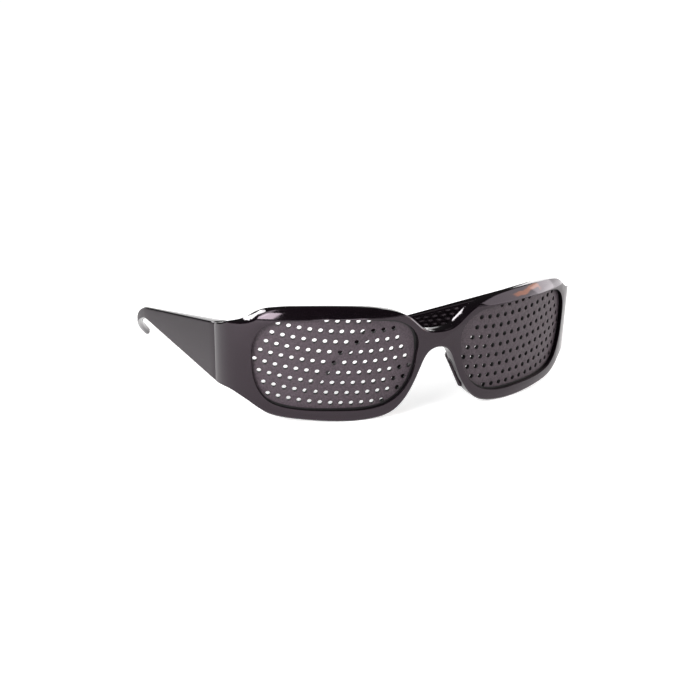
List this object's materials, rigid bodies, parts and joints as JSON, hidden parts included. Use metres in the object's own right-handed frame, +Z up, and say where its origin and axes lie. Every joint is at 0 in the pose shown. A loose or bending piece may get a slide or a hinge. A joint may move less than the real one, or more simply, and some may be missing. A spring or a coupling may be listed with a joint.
{
  "type": "pinhole glasses",
  "caption": "Wraparound pinhole glasses: a glossy moulded front with curved perforated plates for lenses, and broad tapering arms on screwed hinges.",
  "frame": {"origin": "centre of the footprint of the glasses as pictured, on the plane their rims and ear hook stand on", "axes": "+X to the wearer's left, +Y from the front towards the ears, +Z up"},
  "size_m": [0.1476, 0.1348, 0.0409],
  "materials": {
    "front_frame": "glossy black injection moulding",
    "pinhole_plate": "fine matt black moulding",
    "arm": "glossy black injection moulding",
    "hinge_leaf": "stamped, plain",
    "rivet": "plain",
    "screw": "plain, slotted head"
  },
  "bodies": {
    "front": {"front_frame": "front_frame", "left_pinhole_plate": "pinhole_plate", "right_pinhole_plate": "pinhole_plate", "left_front_hinge_leaf": "hinge_leaf", "right_front_hinge_leaf": "hinge_leaf", "left_front_hinge_rivets": "rivet", "right_front_hinge_rivets": "rivet"},
    "left_arm": {"left_arm": "arm", "left_arm_hinge_leaf": "hinge_leaf", "left_arm_hinge_rivets": "rivet", "left_hinge_screw": "screw"},
    "right_arm": {"right_arm": "arm", "right_arm_hinge_leaf": "hinge_leaf", "right_arm_hinge_rivets": "rivet", "right_hinge_screw": "screw"}
  },
  "joints": [
    {"name": "left_arm_hinge", "type": "hinge", "parent": "front", "child": "left_arm", "pos_m": [0.06678, -0.03481, 0.02199], "axis": [0, 0, 1], "range_deg": [-92.5, 0]},
    {"name": "right_arm_hinge", "type": "hinge", "parent": "front", "child": "right_arm", "pos_m": [-0.06065, -0.03481, 0.02199], "axis": [0, 0, 1], "range_deg": [-86, 0]}
  ]
}
